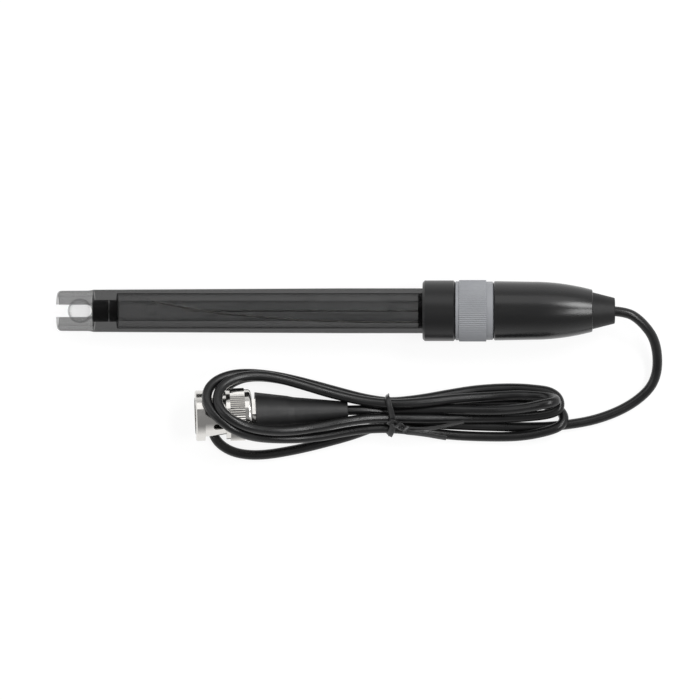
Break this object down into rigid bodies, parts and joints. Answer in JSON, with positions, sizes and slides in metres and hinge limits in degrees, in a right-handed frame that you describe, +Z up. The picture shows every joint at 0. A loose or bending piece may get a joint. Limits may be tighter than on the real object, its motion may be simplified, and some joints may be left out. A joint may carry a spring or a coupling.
{
  "type": "ph electrode",
  "caption": "Combination pH electrode: clear tube with slotted bulb guard, collar, knurled ring, domed cap and a thin lead in a tied hank with a bayonet plug.",
  "frame": {"origin": "on the bench, under the middle of the electrode without its lead and plug", "axes": "+X along the electrode from the bulb to the lead, +Z up from the bench, +Y away from the hank"},
  "size_m": [0.1657, 0.0451, 0.02],
  "materials": {
    "smoke_plastic": "smoke-clear gloss moulding",
    "clear_glass": "clear blown glass",
    "gel": "clear gel",
    "black_rubber": "matte",
    "boot_rubber": "matte moulded",
    "ceramic": "porous ceramic",
    "silver": "drawn wire",
    "copper": "drawn wire",
    "resin": "cast resin",
    "black_plastic": "satin moulding",
    "grey_plastic": "satin moulding",
    "shrink_sleeve": "shrunk sleeve",
    "nickel": "bright plating",
    "white_plastic": "turned plastic",
    "gold_pin": "gold plating",
    "lead_jacket": "soft satin jacket",
    "tie_strap": "plastic-covered wire"
  },
  "bodies": {
    "root": {"body_tube": "smoke_plastic", "glass_stem": "clear_glass", "front_seal": "black_rubber", "rear_seal": "black_rubber", "junction": "ceramic", "capillary": "clear_glass", "inner_wire": "silver", "reference_wire": "silver", "reference_gel": "gel", "potting": "resin", "collar": "black_plastic", "grip_ring": "grey_plastic", "cable_cap": "black_plastic", "cable_gland": "black_rubber", "lead_core": "copper", "lead_screen": "copper", "core_sleeve": "shrink_sleeve", "screen_sleeve": "shrink_sleeve", "plug_body": "nickel", "plug_gasket": "black_rubber", "plug_insulator": "white_plastic", "centre_pin": "gold_pin", "wave_washer": "nickel", "clamp_nut": "nickel", "crimp_ferrule": "nickel", "plug_boot": "boot_rubber", "plug_core": "copper", "cable_tail": "lead_jacket", "cable_lead": "lead_jacket", "cable_hank": "lead_jacket", "twist_tie": "tie_strap"},
    "thrust": {"thrust_washer": "nickel"},
    "coupling": {"coupling_ring": "nickel", "retaining_ring": "nickel"}
  },
  "joints": [
    {"name": "coupling_draw", "type": "slide", "parent": "root", "child": "thrust", "axis": [-0.997, -0.0348, 0.0698], "range_m": [0, 0.0008], "stiffness_N_per_m": 6000, "springref_m": -0.0002, "deforming": ["wave_washer"]},
    {"name": "coupling_turn", "type": "hinge", "parent": "thrust", "child": "coupling", "pos_m": [-0.0383, -0.0287, 0.00876], "axis": [-0.997, -0.0348, 0.0698], "continuous": true}
  ]
}
